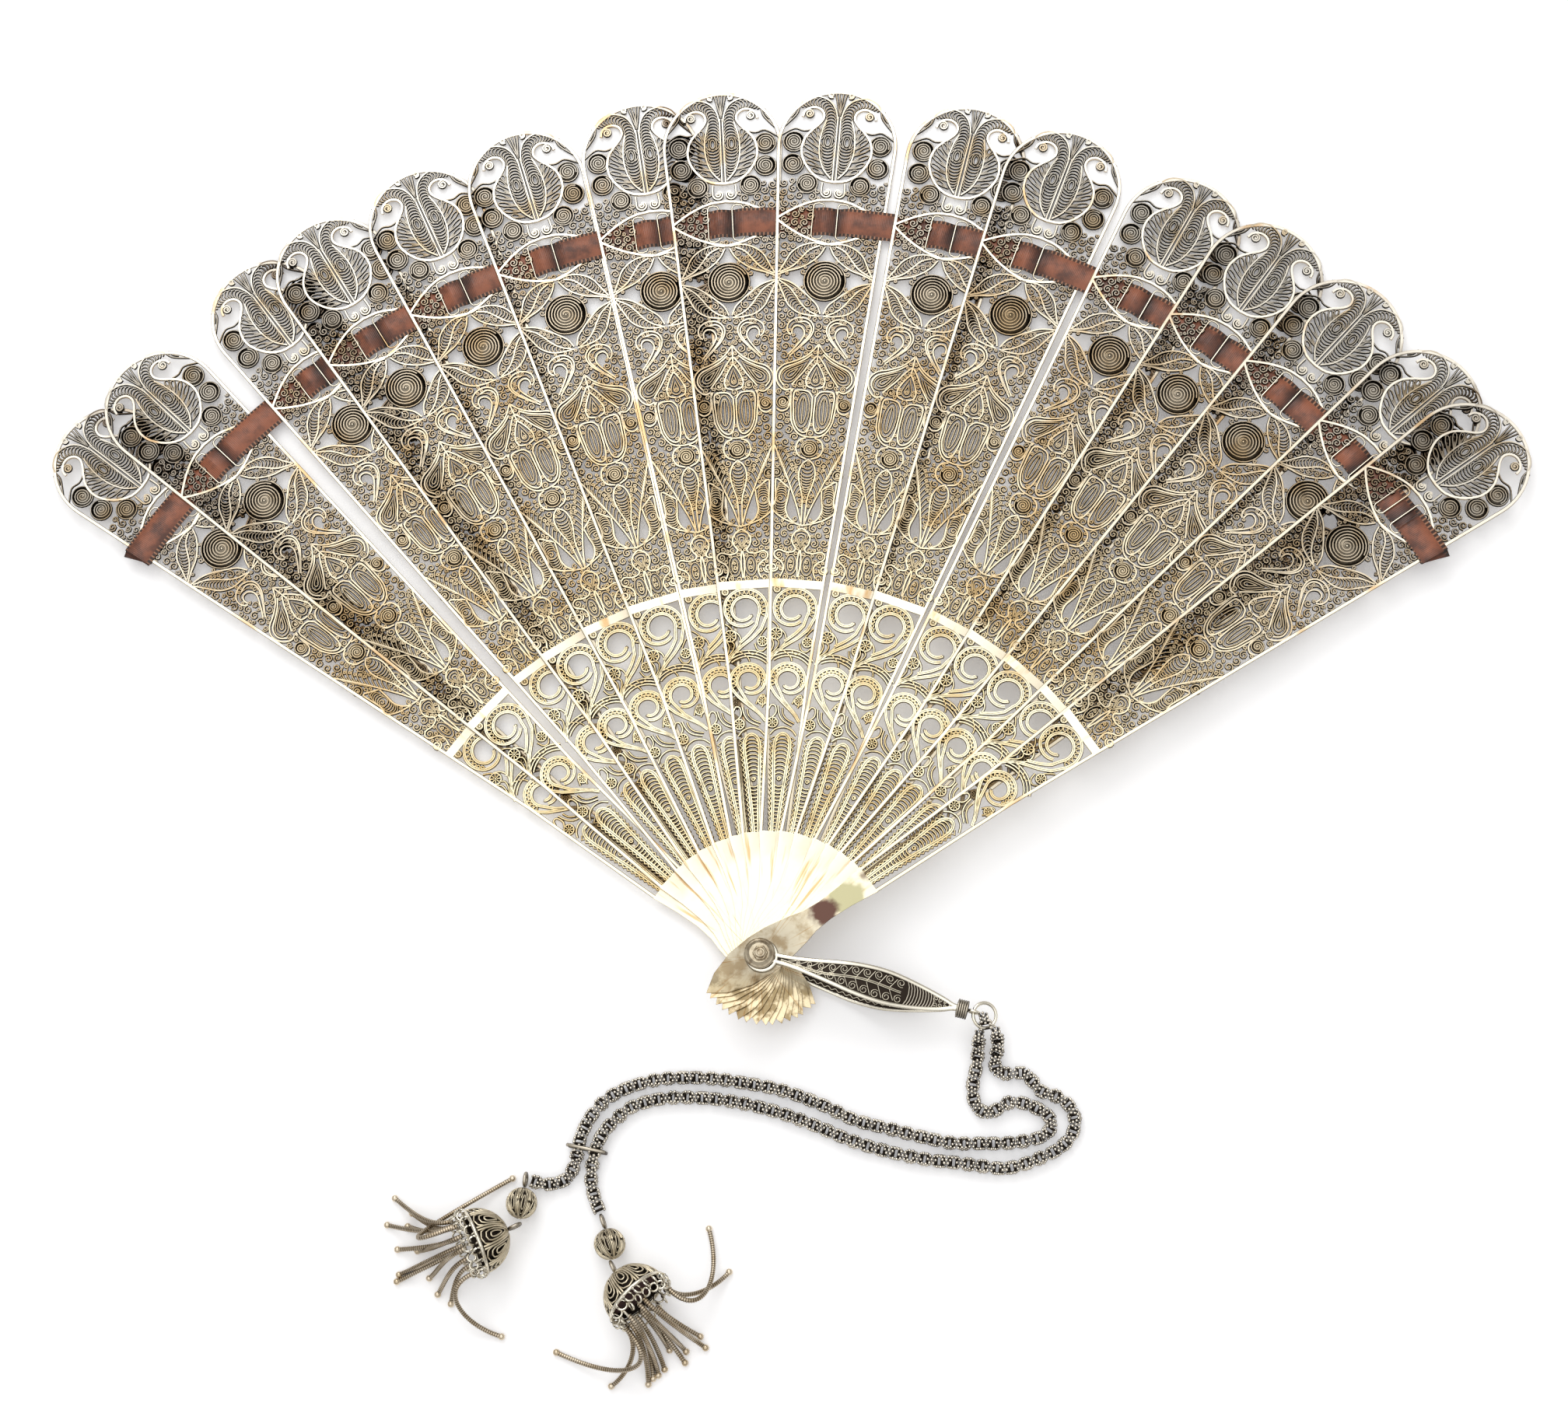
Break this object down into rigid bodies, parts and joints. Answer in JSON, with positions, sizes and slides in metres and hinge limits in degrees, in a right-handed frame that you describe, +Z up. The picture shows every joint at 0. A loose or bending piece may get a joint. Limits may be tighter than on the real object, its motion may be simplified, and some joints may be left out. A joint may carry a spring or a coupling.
{
  "type": "filigree folding fan",
  "caption": "Brise folding fan of openwork filigree sticks on a rivet, laced with a satin ribbon, with a filigree bail, a double chain and tassels.",
  "frame": {"origin": "middle of the underside of the rivet's foot, which the open fan stands on", "axes": "+Y from the rivet along the middle of the open fan, +X to its right, +Z up from the table it lies on"},
  "size_m": [0.2958, 0.2613, 0.0156],
  "materials": {
    "silver_gilt": "silver-gilt filigree wire, warm pale gold, darker between the wires",
    "bright_gilt": "bright silver-gilt beads, caps and bullion wire",
    "oxidised_silver": "oxidised silver, dark with pale worn granules",
    "satin_ribbon": "brown satin with fine cross ribs",
    "dark_thread": "dark red-brown thread"
  },
  "bodies": {
    "back_guard": {"back_guard": "silver_gilt", "ribbon_01": "satin_ribbon", "rivet_pin": "silver_gilt", "domed_washer": "silver_gilt", "rivet_burr": "silver_gilt"},
    "stick_02": {"stick_02": "silver_gilt", "ribbon_02": "satin_ribbon"},
    "stick_03": {"stick_03": "silver_gilt", "ribbon_03": "satin_ribbon"},
    "stick_04": {"stick_04": "silver_gilt", "ribbon_04": "satin_ribbon"},
    "stick_05": {"stick_05": "silver_gilt", "ribbon_05": "satin_ribbon"},
    "stick_06": {"stick_06": "silver_gilt", "ribbon_06": "satin_ribbon"},
    "stick_07": {"stick_07": "silver_gilt", "ribbon_07": "satin_ribbon"},
    "stick_08": {"stick_08": "silver_gilt", "ribbon_08": "satin_ribbon"},
    "stick_09": {"stick_09": "silver_gilt", "ribbon_09": "satin_ribbon"},
    "stick_10": {"stick_10": "silver_gilt", "ribbon_10": "satin_ribbon"},
    "stick_11": {"stick_11": "silver_gilt", "ribbon_11": "satin_ribbon"},
    "stick_12": {"stick_12": "silver_gilt", "ribbon_12": "satin_ribbon"},
    "stick_13": {"stick_13": "silver_gilt", "ribbon_13": "satin_ribbon"},
    "stick_14": {"stick_14": "silver_gilt", "ribbon_14": "satin_ribbon"},
    "stick_15": {"stick_15": "silver_gilt", "ribbon_15": "satin_ribbon"},
    "front_guard": {"front_guard": "silver_gilt", "ribbon_16": "satin_ribbon"},
    "bail": {"bail_upper_arm": "oxidised_silver", "bail_lower_arm": "oxidised_silver", "bail_collar": "oxidised_silver", "jump_ring": "oxidised_silver", "chain_left": "oxidised_silver", "chain_right": "oxidised_silver", "chain_slider": "oxidised_silver"},
    "tassel_left": {"tassel_left_ring": "oxidised_silver", "tassel_left_bead": "bright_gilt", "tassel_left_link": "oxidised_silver", "tassel_left_cap": "bright_gilt", "tassel_left_core": "dark_thread", "tassel_left_fringe": "bright_gilt"},
    "tassel_right": {"tassel_right_ring": "oxidised_silver", "tassel_right_bead": "bright_gilt", "tassel_right_link": "oxidised_silver", "tassel_right_cap": "bright_gilt", "tassel_right_core": "dark_thread", "tassel_right_fringe": "bright_gilt"}
  },
  "joints": [
    {"name": "fold_02", "type": "hinge", "parent": "back_guard", "child": "stick_02", "pos_m": [0, 0, 0], "axis": [0.0334, 0.0372, 0.9988], "range_deg": [0, 5.3], "deforming": ["ribbon_01"]},
    {"name": "fold_03", "type": "hinge", "parent": "stick_02", "child": "stick_03", "pos_m": [0, 0, 0], "axis": [0.0334, 0.0372, 0.9988], "range_deg": [0, 9.71], "deforming": ["ribbon_02"]},
    {"name": "fold_04", "type": "hinge", "parent": "stick_03", "child": "stick_04", "pos_m": [0, 0, 0], "axis": [0.0334, 0.0372, 0.9988], "range_deg": [0, 5.41], "deforming": ["ribbon_03"]},
    {"name": "fold_05", "type": "hinge", "parent": "stick_04", "child": "stick_05", "pos_m": [0, 0, 0], "axis": [0.0334, 0.0372, 0.9988], "range_deg": [0, 7.31], "deforming": ["ribbon_04"]},
    {"name": "fold_06", "type": "hinge", "parent": "stick_05", "child": "stick_06", "pos_m": [0, 0, 0], "axis": [0.0334, 0.0372, 0.9988], "range_deg": [0, 7.41], "deforming": ["ribbon_05"]},
    {"name": "fold_07", "type": "hinge", "parent": "stick_06", "child": "stick_07", "pos_m": [0, 0, 0], "axis": [0.0334, 0.0372, 0.9988], "range_deg": [0, 8.21], "deforming": ["ribbon_06"]},
    {"name": "fold_08", "type": "hinge", "parent": "stick_07", "child": "stick_08", "pos_m": [0, 0, 0], "axis": [0.0334, 0.0372, 0.9988], "range_deg": [0, 5.71], "deforming": ["ribbon_07"]},
    {"name": "fold_09", "type": "hinge", "parent": "stick_08", "child": "stick_09", "pos_m": [0, 0, 0], "axis": [0.0334, 0.0372, 0.9988], "range_deg": [0, 8.01], "deforming": ["ribbon_08"]},
    {"name": "fold_10", "type": "hinge", "parent": "stick_09", "child": "stick_10", "pos_m": [0, 0, 0], "axis": [0.0334, 0.0372, 0.9988], "range_deg": [0, 9.01], "deforming": ["ribbon_09"]},
    {"name": "fold_11", "type": "hinge", "parent": "stick_10", "child": "stick_11", "pos_m": [0, 0, 0], "axis": [0.0334, 0.0372, 0.9988], "range_deg": [0, 6.81], "deforming": ["ribbon_10"]},
    {"name": "fold_12", "type": "hinge", "parent": "stick_11", "child": "stick_12", "pos_m": [0, 0, 0], "axis": [0.0334, 0.0372, 0.9988], "range_deg": [0, 8.91], "deforming": ["ribbon_11"]},
    {"name": "fold_13", "type": "hinge", "parent": "stick_12", "child": "stick_13", "pos_m": [0, 0, 0], "axis": [0.0334, 0.0372, 0.9988], "range_deg": [0, 6.51], "deforming": ["ribbon_12"]},
    {"name": "fold_14", "type": "hinge", "parent": "stick_13", "child": "stick_14", "pos_m": [0, 0, 0], "axis": [0.0334, 0.0372, 0.9988], "range_deg": [0, 6.71], "deforming": ["ribbon_13"]},
    {"name": "fold_15", "type": "hinge", "parent": "stick_14", "child": "stick_15", "pos_m": [0, 0, 0], "axis": [0.0334, 0.0372, 0.9988], "range_deg": [0, 7.21], "deforming": ["ribbon_14"]},
    {"name": "fold_16", "type": "hinge", "parent": "stick_15", "child": "front_guard", "pos_m": [0, 0, 0], "axis": [0.0334, 0.0372, 0.9988], "range_deg": [0, 4.91], "deforming": ["ribbon_15"]},
    {"name": "bail_turn", "type": "hinge", "parent": "back_guard", "child": "bail", "pos_m": [0, 0, 0], "axis": [0.0334, 0.0372, 0.9988], "range_deg": [-30, 20]},
    {"name": "tassel_left_swing", "type": "hinge", "parent": "bail", "child": "tassel_left", "pos_m": [-0.0461, -0.0409, 0.0018], "axis": [0, 0, 1], "range_deg": [-20, 8]},
    {"name": "tassel_right_swing", "type": "hinge", "parent": "bail", "child": "tassel_right", "pos_m": [-0.031, -0.049, 0.0018], "axis": [0, 0, 1], "range_deg": [-8, 20]}
  ],
  "couplings": [
    {"joint": "fold_03", "follows": "fold_02", "ratio": 1.8302},
    {"joint": "fold_04", "follows": "fold_02", "ratio": 1.0189},
    {"joint": "fold_05", "follows": "fold_02", "ratio": 1.3774},
    {"joint": "fold_06", "follows": "fold_02", "ratio": 1.3962},
    {"joint": "fold_07", "follows": "fold_02", "ratio": 1.5472},
    {"joint": "fold_08", "follows": "fold_02", "ratio": 1.0755},
    {"joint": "fold_09", "follows": "fold_02", "ratio": 1.5094},
    {"joint": "fold_10", "follows": "fold_02", "ratio": 1.6981},
    {"joint": "fold_11", "follows": "fold_02", "ratio": 1.283},
    {"joint": "fold_12", "follows": "fold_02", "ratio": 1.6792},
    {"joint": "fold_13", "follows": "fold_02", "ratio": 1.2264},
    {"joint": "fold_14", "follows": "fold_02", "ratio": 1.2642},
    {"joint": "fold_15", "follows": "fold_02", "ratio": 1.3585},
    {"joint": "fold_16", "follows": "fold_02", "ratio": 0.92453}
  ]
}
